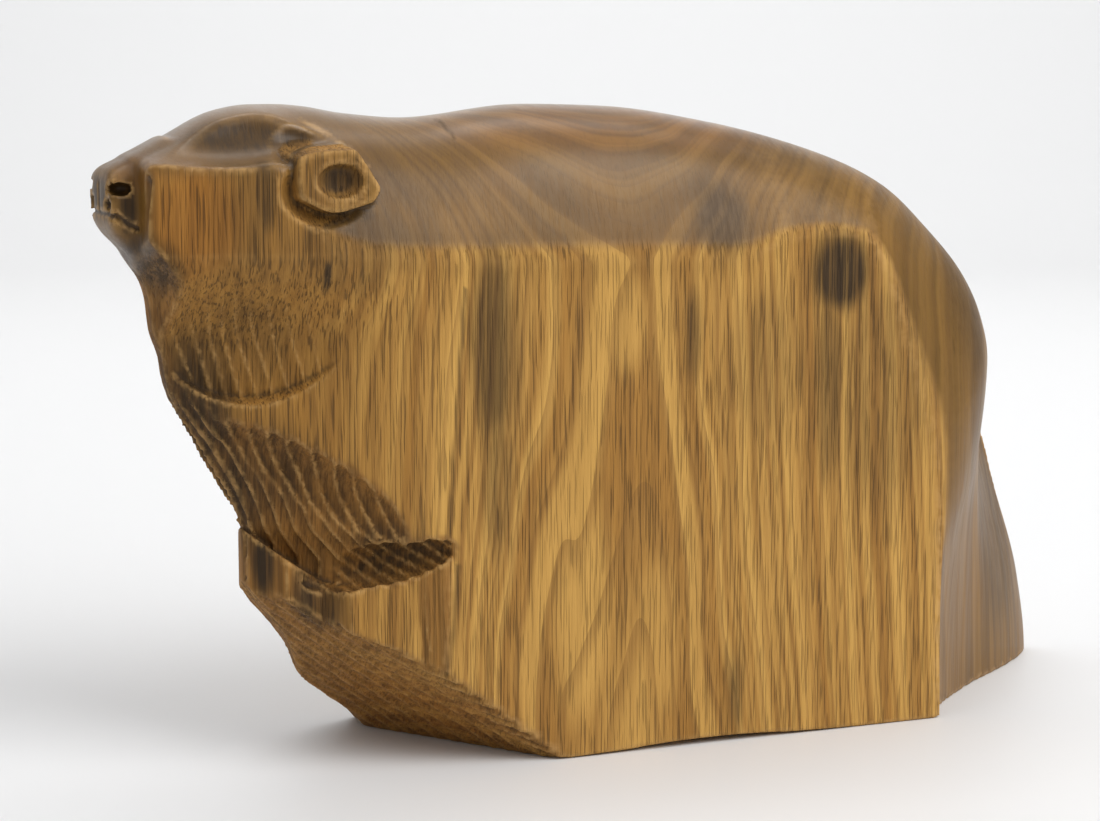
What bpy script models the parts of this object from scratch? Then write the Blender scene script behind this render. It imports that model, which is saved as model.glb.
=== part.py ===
"""A polar bear carved from one block of wood, walking, with its head low and its legs left in the block.

The block is drawn first: two flat walls, and a rounded back that runs on over the rump. The waste is then cut
away as a carver would, with a cutter for each sweep of the gouge. Metres, +Z up. The bear faces -X, its left
side faces -Y, and the origin is on the ground under the middle of its box.

The drawing is in hundredths. Along is a share of LENGTH, counted back from the nose tip. Up is a share of
HEIGHT. Out is a share of half of THICKNESS, from 0 on the middle plane to 100 on a wall.
"""

import bmesh
import bpy
import numpy as np
from mathutils import Matrix, Vector

# Driving sizes of the block
LENGTH = 0.3004
HEIGHT = 0.1746
THICKNESS = 0.068

# How finely the curved faces are cut up
BACK_STATIONS = 72
BACK_STEPS = 12
TAPER_STEPS = (20, 16)
THROAT_STEPS = (20, 14)
ROUND_SIDES = 28
MIDDLE_SIDES = 18
SMALL_SIDES = 12

# Surface of the wood, as a colour and a gloss
WOOD_COLOUR = (0.26, 0.135, 0.045, 1.0)
WOOD_ROUGHNESS = 0.5

# The back and rump, from the head to the heels. Each station has the middle outline, the left edge and the
# right edge as along and up, then how full the left and right halves are: 1 is a dome, 0 a straight slope
BACK = (
    (2.5, 92.3, 2.5, 90.5, 2.5, 88.2, 1.0, 1.0),
    (6.2, 95.7, 6.2, 86.7, 6.2, 85.6, 1.0, 1.0),
    (10.3, 99.2, 10.3, 85.8, 10.3, 85.8, 1.0, 1.0),
    (13.4, 100.0, 13.4, 87.3, 13.4, 87.3, 1.0, 1.0),
    (15.4, 100.0, 15.2, 83.6, 15.2, 83.6, 1.0, 1.0),
    (17.8, 99.7, 17.4, 78.2, 17.4, 78.2, 1.0, 1.0),
    (21.5, 98.6, 21.6, 77.4, 21.6, 77.4, 1.0, 1.0),
    (27.1, 97.8, 27.4, 76.8, 27.4, 76.8, 1.0, 1.0),
    (38.4, 99.7, 38.7, 76.2, 38.7, 76.2, 1.0, 1.0),
    (46.4, 99.3, 47.3, 75.9, 47.3, 75.9, 1.0, 1.0),
    (56.5, 96.8, 55.2, 75.7, 55.2, 75.7, 1.0, 1.0),
    (67.0, 92.2, 60.2, 78.8, 60.2, 78.8, 1.0, 1.0),
    (74.6, 86.6, 64.2, 79.6, 65.8, 79.6, 1.0, 1.0),
    (79.5, 79.6, 68.3, 78.4, 71.2, 78.2, 1.0, 1.0),
    (83.3, 72.7, 70.5, 72.8, 76.2, 73.0, 1.0, 1.0),
    (85.7, 65.9, 72.2, 64.0, 81.1, 65.0, 0.95, 0.95),
    (87.0, 59.0, 73.4, 57.8, 85.6, 57.6, 0.85, 0.9),
    (87.3, 48.9, 75.1, 49.0, 91.5, 49.0, 0.6, 0.7),
    (87.3, 42.0, 75.9, 43.0, 94.2, 42.0, 0.4, 0.5),
    (87.3, 29.8, 76.4, 32.9, 96.2, 30.9, 0.0, 0.1),
    (87.4, 14.3, 76.6, 16.0, 99.0, 14.5, -0.25, -0.3),
    (87.6, 0.0, 76.8, 0.0, 100.0, 0.0, -0.35, -0.4),
    (87.6, -3.0, 76.8, -3.0, 100.0, -3.0, -0.35, -0.4),
)
EDGE_ANGLE = 20.0  # degrees between a wall and the start of the back

# The front, from the chin to the feet. Each row has the keel's along and up, and the along of the same row
# where its sweep meets the wall plane
FRONT = (
    (0.7, 81.5, 3.4),
    (2.4, 77.4, 5.4),
    (3.7, 73.8, 7.1),
    (4.1, 71.3, 7.8),
    (4.4, 66.8, 9.1),
    (5.2, 62.4, 11.1),
    (5.4, 60.0, 13.1),
    (5.8, 56.9, 14.7),
    (7.5, 51.2, 16.1),
    (7.8, 50.5, 18.1),
    (8.0, 49.8, 19.7),
    (9.0, 46.5, 21.5),
    (10.0, 43.6, 22.3),
    (10.8, 41.1, 22.7),
    (11.7, 38.0, 23.2),
    (11.9, 36.7, 23.7),
    (12.6, 34.4, 25.1),
    (13.4, 30.9, 26.9),
    (13.4, -4.6, 26.9),
)
KEEL_OUT = 9.0
FRONT_OVERSHOOT = 1.2

# The taper of the cheeks and chest towards the keel: the along where it starts, and the depth cut for each
# unit ahead of that
CHEEK_TAPER = (17.1, 0.26)
CHEST_TAPER = (23.6, 0.51)
TAPER_ROUND = 5.0
CHEEK_UP = 79.0
CHEST_UP = 64.0

# The throat, hollowed down to a stop cut along the jaw
THROAT_MIDDLE = 11.4
THROAT_SPAN = 7.2
THROAT_TOP = 75.0
THROAT_JAW = 56.6
THROAT_JAW_RISE = 0.12
THROAT_DEPTH = 13.0
THROAT_RISES = (-0.12, 0.0)

# The legs under the chest, as a plan of along, out and the height of their tops on the left and right
LEGS_LEFT = (
    (11.8, 0.0, 36.4),
    (12.0, 17.6, 35.8),
    (14.4, 50.0, 32.6),
    (17.7, 52.9, 28.6),
    (19.2, 79.4, 27.8),
    (26.9, 94.1, 32.6),
    (39.0, 94.1, 32.6),
)
LEGS_RIGHT = (
    (11.8, 0.0, 36.4),
    (12.4, 23.5, 34.9),
    (14.4, 41.2, 32.6),
    (17.7, 58.8, 28.6),
    (21.4, 79.4, 28.1),
    (26.9, 93.2, 32.1),
    (39.0, 93.2, 32.1),
)

LEGS_BOTTOM = -4.0

# The scoop across each side of the chest, and the hollow below it, each between two places
SCOOP = ((4.8, 32.4, 52.7), (24.1, 120.6, 34.4))
SCOOP_RADIUS = 0.012
HOLLOW = ((27.7, 100.0, 34.4), (16.1, 47.1, 28.9))
HOLLOW_RADIUS = 0.0052

# The underside of the feet, each as three points of one sloping face: along, out and up
SOLE_FRONT = ((11.9, 0.0, 27.5), (25.4, 0.0, 0.0), (21.1, 100.0, 8.6))
SOLE_LEFT = ((38.0, -100.0, 0.0), (29.8, 0.3, 0.0), (26.7, -94.1, 14.8))

# The eye sockets, the temples behind them, and the ears in their hollows
EYE_CENTRE = (8.1, 80.0, 100.6)
EYE_RADII = (11.0, 47.1, 9.2)
TEMPLE_CENTRE = (15.4, 97.1, 96.2)
TEMPLE_RADII = (5.3, 50.0, 4.9)
EAR_HOLLOW_CENTRE = (17.2, 110.0, 87.9)
EAR_HOLLOW_RADII = (5.0, 35.3, 6.0)
EAR_FACE_CENTRE = (18.1, 98.2, 89.1)
EAR_FACE_RADII = (3.77, 4.5)
EAR_ROOT_CENTRE = (18.6, 35.3, 89.6)
EAR_ROOT_RADII = (4.34, 5.4)
EAR_CUP_CENTRE = (18.1, 101.2, 89.3)
EAR_CUP_RADII = (2.14, 13.5, 2.7)

# The muzzle, as rings of along, half width as out, lowest and highest point
MUZZLE = (
    (0.0, 31.2, 84.2, 88.8),
    (0.1, 35.3, 82.8, 90.2),
    (0.5, 37.1, 81.3, 91.1),
    (1.4, 37.4, 79.6, 91.9),
    (2.8, 37.9, 77.0, 93.0),
    (5.4, 38.8, 73.9, 95.3),
)
MUZZLE_SQUARENESS = 3.2
MOUTH = ((2.3, 38.2, 82.4), (1.5, 37.9, 83.0), (0.6, 36.5, 84.2), (0.1, 27.9, 84.5), (-0.1, 0.0, 84.3))
MOUTH_RADIUS = 0.0010
NOSTRIL_CENTRE = (1.0, 30.9, 88.1)
NOSTRIL_RADII = (1.0, 9.4, 1.1)
LIP_PIT_CENTRE = (0.2, 25.9, 85.9)
LIP_PIT_RADII = (0.5, 7.6, 0.9)
PHILTRUM = ((-0.0, 0.0, 88.7), (-0.0, 0.0, 84.4))
PHILTRUM_RADIUS = 0.0006

CUTTER_MARGIN = 0.02  # how far a cutter stands clear of the block


def at(along, out, up):
    """A place of the drawing in metres. Out counts from the middle plane towards +Y."""
    return Vector(((along / 100 - 0.5) * LENGTH, out / 100 * THICKNESS / 2, up / 100 * HEIGHT))


def points_at(along, out, up):
    """The same as at(), for whole arrays."""
    along, out, up = np.broadcast_arrays(along, out, up)
    return np.stack(
        ((along / 100 - 0.5) * LENGTH, out / 100 * THICKNESS / 2, up / 100 * HEIGHT), axis=-1
    )


def radii_at(along, out, up):
    """Three half widths of the drawing in metres."""
    return Vector((along / 100 * LENGTH, out / 100 * THICKNESS / 2, up / 100 * HEIGHT))


def smooth_step(value, low, high):
    """0 below low, 1 above high, and an even S between them."""
    t = np.clip((value - low) / (high - low), 0, 1)
    return t * t * (3 - 2 * t)


def even_curve(rows, count):
    """About count rows along a smooth curve, which passes every given row and never swings past them."""
    rows = np.array(rows, float)
    gaps = np.linalg.norm(np.diff(rows[:, :2], axis=0), axis=1)
    slopes = np.diff(rows, axis=0) / gaps[:, None]
    before, after = slopes[:-1], slopes[1:]
    same_way = before * after > 0
    inner = np.where(same_way, 2 * before * after / np.where(same_way, before + after, 1), 0)
    tangents = np.vstack((slopes[:1], inner, slopes[-1:]))
    parts = np.maximum(np.rint(gaps / gaps.sum() * count).astype(int), 1)
    left = np.repeat(np.arange(len(gaps)), parts)
    t = np.concatenate([np.arange(part) / part for part in parts])[:, None]
    span = gaps[left][:, None]
    curve = (
        (2 * t**3 - 3 * t**2 + 1) * rows[left]
        + (t**3 - 2 * t**2 + t) * span * tangents[left]
        + (3 * t**2 - 2 * t**3) * rows[left + 1]
        + (t**3 - t**2) * span * tangents[left + 1]
    )
    return np.vstack((curve, rows[-1:]))


def new_object(name, vertices, faces):
    """A mesh object with its faces pointing out and no bent quads."""
    mesh = bpy.data.meshes.new(name)
    mesh.from_pydata([tuple(v) for v in vertices], [], [tuple(f) for f in faces])
    work = bmesh.new()
    work.from_mesh(mesh)
    bmesh.ops.remove_doubles(work, verts=work.verts, dist=1e-6)
    bmesh.ops.recalc_face_normals(work, faces=work.faces)
    bmesh.ops.triangulate(work, faces=[face for face in work.faces if len(face.verts) == 4])
    work.to_mesh(mesh)
    work.free()
    made = bpy.data.objects.new(name, mesh)
    bpy.context.scene.collection.objects.link(made)
    return made


def as_cutter(made):
    """Keeps a tool of the carving out of the finished model."""
    made.hide_render = True
    made.display_type = "WIRE"
    return made


def mirrored(made, name):
    """The same tool for the other side of the bear."""
    twin = bpy.data.objects.new(name, made.data.copy())
    twin.data.transform(Matrix.Scale(-1, 4, (0, 1, 0)))
    twin.data.flip_normals()
    bpy.context.scene.collection.objects.link(twin)
    return twin


def grid_faces(rows, columns):
    """The quads between the points of a grid that is kept row after row."""
    corner = (np.arange(rows - 1)[:, None] * columns + np.arange(columns - 1)).ravel()
    return np.stack((corner, corner + 1, corner + columns + 1, corner + columns), axis=1).tolist()


def filled_grid(name, front, back):
    """A solid between two grids of the same size."""
    rows, columns = front.shape[:2]
    count = rows * columns
    faces = grid_faces(rows, columns)
    faces += [[i + count for i in reversed(face)] for face in faces]
    rim = list(range(columns))
    rim += [row * columns + columns - 1 for row in range(1, rows)]
    rim += [(rows - 1) * columns + column for column in range(columns - 2, -1, -1)]
    rim += [row * columns for row in range(rows - 2, 0, -1)]
    for first, second in zip(rim, rim[1:] + rim[:1]):
        faces.append([first, first + count, second + count, second])
    return new_object(name, np.vstack((front.reshape(-1, 3), back.reshape(-1, 3))), faces)


def rounded_tool(name, matrix, sides):
    """A ball put through the given matrix."""
    work = bmesh.new()
    bmesh.ops.create_uvsphere(work, u_segments=sides, v_segments=sides // 2, radius=1.0)
    bmesh.ops.transform(work, verts=work.verts, matrix=matrix)
    mesh = bpy.data.meshes.new(name)
    work.to_mesh(mesh)
    work.free()
    made = bpy.data.objects.new(name, mesh)
    bpy.context.scene.collection.objects.link(made)
    return made


def ellipsoid(name, centre, radii, sides=ROUND_SIDES):
    """A rounded tool with the three given half widths."""
    matrix = Matrix.Translation(at(*centre)) @ Matrix.Diagonal((*radii_at(*radii), 1))
    return rounded_tool(name, matrix, sides)


def spindle(name, first, last, radius, sides):
    """A rounded tool that runs from one place to another, and is thickest half way."""
    start, end = at(*first), at(*last)
    turn = (end - start).to_track_quat("X", "Z").to_matrix().to_4x4()
    stretch = Matrix.Diagonal(((end - start).length / 2, radius, radius, 1))
    return rounded_tool(name, Matrix.Translation((start + end) / 2) @ turn @ stretch, sides)


def tapered_bar(name, first, first_radii, last, last_radii, across, upward):
    """A bar between two oval ends, whose half widths lie along the two given directions."""
    turn = np.linspace(0, 2 * np.pi, ROUND_SIDES, endpoint=False)
    rings = []
    for centre, (wide, high) in ((first, first_radii), (last, last_radii)):
        ring = [
            Vector(centre) + Vector(across) * wide * c + Vector(upward) * high * s
            for c, s in zip(np.cos(turn), np.sin(turn))
        ]
        rings += ring
    sides = [[i, (i + 1) % ROUND_SIDES] for i in range(ROUND_SIDES)]
    faces = [[a, b, b + ROUND_SIDES, a + ROUND_SIDES] for a, b in sides]
    faces += [list(range(ROUND_SIDES)), list(range(ROUND_SIDES, 2 * ROUND_SIDES))]
    return new_object(name, rings, faces)


def groove_tool(name, places, radius):
    """A thin round tool along the given places."""
    curve = bpy.data.curves.new(name, "CURVE")
    curve.dimensions = "3D"
    curve.bevel_depth = radius
    curve.bevel_resolution = 1
    curve.use_fill_caps = True
    spline = curve.splines.new("POLY")
    spline.points.add(len(places) - 1)
    for point, place in zip(spline.points, places):
        point.co = (*at(*place), 1)
    drawn = bpy.data.objects.new(name + "_line", curve)
    bpy.context.scene.collection.objects.link(drawn)
    graph = bpy.context.evaluated_depsgraph_get()
    mesh = bpy.data.meshes.new_from_object(drawn.evaluated_get(graph))
    bpy.data.objects.remove(drawn)
    vertices = [v.co.copy() for v in mesh.vertices]
    faces = [list(face.vertices) for face in mesh.polygons]
    bpy.data.meshes.remove(mesh)
    return new_object(name, vertices, faces)


def below_face(name, corners):
    """A slab that lies under the sloping face through three places, deep enough to clear the block."""
    first, second, third = (at(*corner) for corner in corners)
    along = (second - first).normalized()
    down = (second - first).cross(third - first).normalized()
    if down.z > 0:
        down.negate()
    middle = (first + second + third) / 3
    side = down.cross(along)
    reach = LENGTH
    turned = Matrix((along, side, down)).transposed().to_4x4()
    work = bmesh.new()
    bmesh.ops.create_cube(work, size=2 * reach)
    bmesh.ops.transform(
        work, verts=work.verts, matrix=Matrix.Translation(middle + down * reach) @ turned
    )
    bmesh.ops.recalc_face_normals(work, faces=work.faces)
    mesh = bpy.data.meshes.new(name)
    work.to_mesh(mesh)
    work.free()
    made = bpy.data.objects.new(name, mesh)
    bpy.context.scene.collection.objects.link(made)
    return made


def block():
    """The block with its walls flat, its back rounded and its front still square."""
    stations = even_curve(BACK, BACK_STATIONS)
    start = np.radians(EDGE_ANGLE)
    angle = np.linspace(start, np.pi / 2, BACK_STEPS + 1)
    out = np.cos(angle) / np.cos(start)
    dome = (np.sin(angle) - np.sin(start)) / (1 - np.sin(start))
    halves = []
    for side, edge, full in ((-1, 2, 6), (1, 4, 7)):
        share = stations[:, full, None] * dome + (1 - stations[:, full, None]) * (1 - out)
        along = stations[:, edge, None] * (1 - share) + stations[:, 0, None] * share
        up = stations[:, edge + 1, None] * (1 - share) + stations[:, 1, None] * share
        halves.append(points_at(along, side * 100 * out, up))
    grid = np.concatenate((halves[0], halves[1][:, -2::-1]), axis=1)
    rows, columns = grid.shape[:2]
    faces = grid_faces(rows, columns)
    toe_left, toe_right = rows * columns, rows * columns + 1
    toes = [at(BACK[0][0], -100, BACK[-1][1]), at(BACK[0][0], 100, BACK[-1][1])]
    first_row = list(range(columns))
    last_row = list(range((rows - 1) * columns, rows * columns))
    faces.append([toe_left, *first_row, toe_right])
    faces.append([toe_left, *last_row, toe_right])
    faces.append([toe_left, *range(0, rows * columns, columns)])
    faces.append([toe_right, *range(columns - 1, rows * columns, columns)])
    return new_object("polar_bear", [*grid.reshape(-1, 3), *toes], faces)


def one_taper(along, start, slope):
    """The depth of one straight taper, eased in where it starts."""
    ahead = start - along
    soft = np.maximum(ahead + TAPER_ROUND, 0) ** 2 / (4 * TAPER_ROUND)
    return np.where(ahead > TAPER_ROUND, ahead, soft) * slope * 2 * LENGTH / THICKNESS


def taper_depth(along, up):
    """How far the cheek and the chest below it stand in from the wall plane, as out."""
    share = smooth_step(up, CHEST_UP, CHEEK_UP)
    return one_taper(along, *CHEST_TAPER) * (1 - share) + one_taper(along, *CHEEK_TAPER) * share


def relief_tool(name, along, up, depth, lift):
    """Cuts the left wall back to the given depth, with the tool's rim lifted clear of the wood."""
    clear = -100 - 200 * CUTTER_MARGIN / THICKNESS
    along, up, surface = np.broadcast_arrays(along, up, -100 + depth - lift)
    front = points_at(along, np.maximum(surface, clear + 1), up)
    back = points_at(along, clear, up)
    return filled_grid(name, front, back)


def taper_tool():
    """The tapering cut over cheek and chest."""
    along = np.linspace(-6, CHEST_TAPER[0] + TAPER_ROUND + 1, TAPER_STEPS[0])[:, None]
    bend = np.linspace(CHEST_UP - 2, CHEEK_UP + 2, TAPER_STEPS[1] - 4)
    up = np.concatenate(((-4, 30), bend, (95, 112)))[None, :]
    return relief_tool("taper_left", along, up, taper_depth(along, up), 0.3)


def throat_tool():
    """The hollow of the throat: deepest at the jaw line, and fading upwards and to both ends."""
    along = THROAT_MIDDLE + THROAT_SPAN * np.linspace(-1.15, 1.15, THROAT_STEPS[0])[:, None]
    rise = np.concatenate((THROAT_RISES, np.linspace(0.1, 1.1, THROAT_STEPS[1] - 2)))[None, :]
    jaw = THROAT_JAW + THROAT_JAW_RISE * (along - THROAT_MIDDLE) ** 2
    up = jaw + rise * (THROAT_TOP - jaw)
    across = 1 - ((along - THROAT_MIDDLE) / THROAT_SPAN) ** 2
    hollow = np.where(rise < 0, -0.3, (1 - rise) * np.maximum(across, 0) + np.minimum(across, 0))
    return relief_tool("throat_left", along, up, taper_depth(along, up) + hollow * THROAT_DEPTH, 0.4)


def front_tool():
    """Everything ahead of the keel and of the two sweeps that run back from it."""
    rows = np.array(FRONT)
    reach = KEEL_OUT + (100 - KEEL_OUT) * FRONT_OVERSHOOT
    sides = np.array((-reach, -KEEL_OUT, KEEL_OUT, reach))
    far = rows[:, 0] + (rows[:, 2] - rows[:, 0]) * FRONT_OVERSHOOT
    along = np.stack((far, rows[:, 0], rows[:, 0], far), axis=1)
    front = points_at(along, sides[None, :], rows[:, 1, None])
    ahead = -100 * CUTTER_MARGIN / LENGTH
    back = points_at(np.full_like(along, ahead), sides[None, :], rows[:, 1, None])
    return filled_grid("front_waste", front, back)


def legs():
    """The forelegs, which stand under the chest and run back into the block."""
    left = np.array(LEGS_LEFT) * (1, -1, 1)
    right = np.array(LEGS_RIGHT)
    top = points_at(*np.moveaxis(np.stack((left, right), axis=1), -1, 0))
    low = top.copy()
    low[..., 2] = at(0, 0, LEGS_BOTTOM).z
    return filled_grid("forelegs", top, low)


def ear():
    """The left ear: a stub with an oval face, wider where it grows out of the head."""
    face, root = at(*EAR_FACE_CENTRE), at(*EAR_ROOT_CENTRE)
    face.y, root.y = -face.y, -root.y
    face_size = (EAR_FACE_RADII[0] / 100 * LENGTH, EAR_FACE_RADII[1] / 100 * HEIGHT)
    root_size = (EAR_ROOT_RADII[0] / 100 * LENGTH, EAR_ROOT_RADII[1] / 100 * HEIGHT)
    return tapered_bar("ear_left", face, face_size, root, root_size, (1, 0, 0), (0, 0, 1))


def muzzle():
    """The muzzle: rounded squares, one behind the other, from the nose into the head."""
    rings = even_curve([(row[0], row[1] / 10, row[1], row[2], row[3]) for row in MUZZLE], 12)
    turn = np.linspace(0, 2 * np.pi, ROUND_SIDES, endpoint=False)
    power = 2 / MUZZLE_SQUARENESS
    wide = np.sign(np.cos(turn)) * np.abs(np.cos(turn)) ** power
    high = np.sign(np.sin(turn)) * np.abs(np.sin(turn)) ** power
    middle = (rings[:, 3, None] + rings[:, 4, None]) / 2
    half = (rings[:, 4, None] - rings[:, 3, None]) / 2
    grid = points_at(rings[:, 0, None], rings[:, 2, None] * wide, middle + half * high)
    count = len(rings)
    faces = []
    for row in range(count - 1):
        for side in range(ROUND_SIDES):
            after = (side + 1) % ROUND_SIDES
            low, high_row = row * ROUND_SIDES, (row + 1) * ROUND_SIDES
            faces.append([low + side, low + after, high_row + after, high_row + side])
    faces.append(list(range(ROUND_SIDES)))
    faces.append(list(range((count - 1) * ROUND_SIDES, count * ROUND_SIDES)))
    return new_object("muzzle", grid.reshape(-1, 3), faces)


def on_left(place):
    """A place given on the right, moved to the left side."""
    return (place[0], -place[1], place[2])


def carve(bear):
    """Runs the joins and cuts, in a carver's order, as Boolean modifiers on the block."""
    steps = []

    def both(operation, tool, name):
        steps.append((operation, tool))
        steps.append((operation, mirrored(tool, name)))

    steps.append(("DIFFERENCE", front_tool()))
    both("DIFFERENCE", taper_tool(), "taper_right")
    steps.append(("UNION", legs()))
    both("DIFFERENCE", throat_tool(), "throat_right")
    scoop = spindle("scoop_left", on_left(SCOOP[0]), on_left(SCOOP[1]), SCOOP_RADIUS, ROUND_SIDES)
    both("DIFFERENCE", scoop, "scoop_right")
    hollow = spindle("hollow_left", on_left(HOLLOW[0]), on_left(HOLLOW[1]), HOLLOW_RADIUS, MIDDLE_SIDES)
    both("DIFFERENCE", hollow, "hollow_right")
    steps.append(("DIFFERENCE", below_face("sole_front", SOLE_FRONT)))
    steps.append(("DIFFERENCE", below_face("sole_left", SOLE_LEFT)))
    both("DIFFERENCE", ellipsoid("eye_left", on_left(EYE_CENTRE), EYE_RADII), "eye_right")
    both("DIFFERENCE", ellipsoid("temple_left", on_left(TEMPLE_CENTRE), TEMPLE_RADII), "temple_right")
    hollow = ellipsoid("ear_hollow_left", on_left(EAR_HOLLOW_CENTRE), EAR_HOLLOW_RADII)
    both("DIFFERENCE", hollow, "ear_hollow_right")
    both("UNION", ear(), "ear_right")
    cup = ellipsoid("ear_cup_left", on_left(EAR_CUP_CENTRE), EAR_CUP_RADII, MIDDLE_SIDES)
    both("DIFFERENCE", cup, "ear_cup_right")
    steps.append(("UNION", muzzle()))
    mouth = list(MOUTH) + [on_left(place) for place in reversed(MOUTH[:-1])]
    steps.append(("DIFFERENCE", groove_tool("mouth", mouth, MOUTH_RADIUS)))
    steps.append(("DIFFERENCE", groove_tool("philtrum", PHILTRUM, PHILTRUM_RADIUS)))
    nostril = ellipsoid("nostril_left", on_left(NOSTRIL_CENTRE), NOSTRIL_RADII, SMALL_SIDES)
    both("DIFFERENCE", nostril, "nostril_right")
    lip_pit = ellipsoid("lip_pit_left", on_left(LIP_PIT_CENTRE), LIP_PIT_RADII, SMALL_SIDES)
    both("DIFFERENCE", lip_pit, "lip_pit_right")
    steps.append(("DIFFERENCE", below_face("ground", ((0, 0, 0), (100, 0, 0), (0, 100, 0)))))
    for operation, tool in steps:
        as_cutter(tool)
        step = bear.modifiers.new(tool.name, "BOOLEAN")
        step.operation = operation
        step.solver = "EXACT"
        step.object = tool


def wood():
    """Oiled brown wood."""
    material = bpy.data.materials.new("oiled_wood")
    material.use_nodes = True
    shader = material.node_tree.nodes["Principled BSDF"]
    shader.inputs["Base Color"].default_value = WOOD_COLOUR
    shader.inputs["Roughness"].default_value = WOOD_ROUGHNESS
    shader.inputs["Metallic"].default_value = 0.0
    return material


def main():
    for old in list(bpy.data.objects):
        bpy.data.objects.remove(old)
    bear = block()
    bear.data.materials.append(wood())
    bear.data.shade_smooth()
    bear.data.set_sharp_from_angle(angle=np.radians(35))
    carve(bear)


main()
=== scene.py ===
"""The looks of a polar bear carved from one block of oiled wood.

The bear is worked out as a carver would cut it. A field gives a number to every point in space: below 0 in
the wood and above 0 outside it. Each tool has a field of its own, and a cut takes the greater of the two.
The surface is drawn where the field is 0. Millimetres inside this file, +Z up. The bear faces -X and its
left side faces -Y.

The drawing is in hundredths, as in the part: along is a share of the length from the nose, up a share of
the height, and out a share of half the thickness from the middle plane.
"""

import math

import bpy
import numpy as np
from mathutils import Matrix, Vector


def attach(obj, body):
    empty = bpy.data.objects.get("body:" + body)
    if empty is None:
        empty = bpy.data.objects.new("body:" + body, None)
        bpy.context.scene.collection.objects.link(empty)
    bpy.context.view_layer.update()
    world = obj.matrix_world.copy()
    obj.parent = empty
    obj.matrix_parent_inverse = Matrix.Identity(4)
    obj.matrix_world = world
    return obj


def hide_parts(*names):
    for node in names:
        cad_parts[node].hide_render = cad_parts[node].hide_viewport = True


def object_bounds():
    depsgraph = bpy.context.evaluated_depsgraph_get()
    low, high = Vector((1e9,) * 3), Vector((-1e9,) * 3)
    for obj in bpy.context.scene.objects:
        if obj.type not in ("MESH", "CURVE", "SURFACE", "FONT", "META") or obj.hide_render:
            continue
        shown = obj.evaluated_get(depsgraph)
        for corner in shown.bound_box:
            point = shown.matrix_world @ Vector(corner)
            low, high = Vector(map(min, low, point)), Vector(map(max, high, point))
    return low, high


bl_info = {
    "name": "Carved Polar Bear",
    "version": (1, 0, 0),
    "blender": (4, 5, 0),
    "location": "View3D > Sidebar > Carving",
    "description": "Carves a polar bear from one block of wood and sets it on a pale table",
    "category": "Object",
}

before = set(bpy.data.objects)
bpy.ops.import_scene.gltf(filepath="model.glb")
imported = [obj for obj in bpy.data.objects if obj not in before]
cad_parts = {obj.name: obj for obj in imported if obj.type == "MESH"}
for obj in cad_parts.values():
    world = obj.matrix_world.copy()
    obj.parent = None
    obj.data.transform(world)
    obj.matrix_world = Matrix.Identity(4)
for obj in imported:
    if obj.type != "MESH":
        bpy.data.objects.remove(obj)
CAD_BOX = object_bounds()
MM = 1000.0
LOW, HIGH = (np.array(corner) * MM for corner in CAD_BOX)
LENGTH, THICKNESS, HEIGHT = HIGH - LOW
HALF = THICKNESS / 2

# The back and rump, from the head to the heels. Each station has the middle outline, the left edge and the
# right edge as along and up, then how full the left and right halves are: 1 is a dome, 0 a straight slope
BACK = (
    (2.5, 92.3, 2.5, 90.5, 2.5, 88.2, 1.0, 1.0),
    (6.2, 95.7, 6.2, 86.7, 6.2, 85.6, 1.0, 1.0),
    (10.3, 99.2, 10.3, 85.8, 10.3, 85.8, 1.0, 1.0),
    (13.4, 100.0, 13.4, 87.3, 13.4, 87.3, 1.0, 1.0),
    (15.4, 100.0, 15.2, 83.6, 15.2, 83.6, 1.0, 1.0),
    (17.8, 99.7, 17.4, 78.2, 17.4, 78.2, 1.0, 1.0),
    (21.5, 98.6, 21.6, 77.4, 21.6, 77.4, 1.0, 1.0),
    (27.1, 97.8, 27.4, 76.8, 27.4, 76.8, 1.0, 1.0),
    (38.4, 99.7, 38.7, 76.2, 38.7, 76.2, 1.0, 1.0),
    (46.4, 99.3, 47.3, 75.9, 47.3, 75.9, 1.0, 1.0),
    (56.5, 96.8, 55.2, 75.7, 55.2, 75.7, 1.0, 1.0),
    (67.0, 92.2, 60.2, 78.8, 60.2, 78.8, 1.0, 1.0),
    (74.6, 86.6, 64.2, 79.6, 65.8, 79.6, 1.0, 1.0),
    (79.5, 79.6, 68.3, 78.4, 71.2, 78.2, 1.0, 1.0),
    (83.3, 72.7, 70.5, 72.8, 76.2, 73.0, 1.0, 1.0),
    (85.7, 65.9, 72.2, 64.0, 81.1, 65.0, 0.95, 0.95),
    (87.0, 59.0, 73.4, 57.8, 85.6, 57.6, 0.85, 0.9),
    (87.3, 48.9, 75.1, 49.0, 91.5, 49.0, 0.6, 0.7),
    (87.3, 42.0, 75.9, 43.0, 94.2, 42.0, 0.4, 0.5),
    (87.3, 29.8, 76.4, 32.9, 96.2, 30.9, 0.0, 0.1),
    (87.4, 14.3, 76.6, 16.0, 99.0, 14.5, -0.25, -0.3),
    (87.6, 0.0, 76.8, 0.0, 100.0, 0.0, -0.35, -0.4),
    (87.6, -3.0, 76.8, -3.0, 100.0, -3.0, -0.35, -0.4),
)
EDGE_ANGLE = math.radians(20)  # between a wall and the start of the back
PIVOT = (56.7, 17.2)  # along and up of the point that the rump turns about

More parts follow.
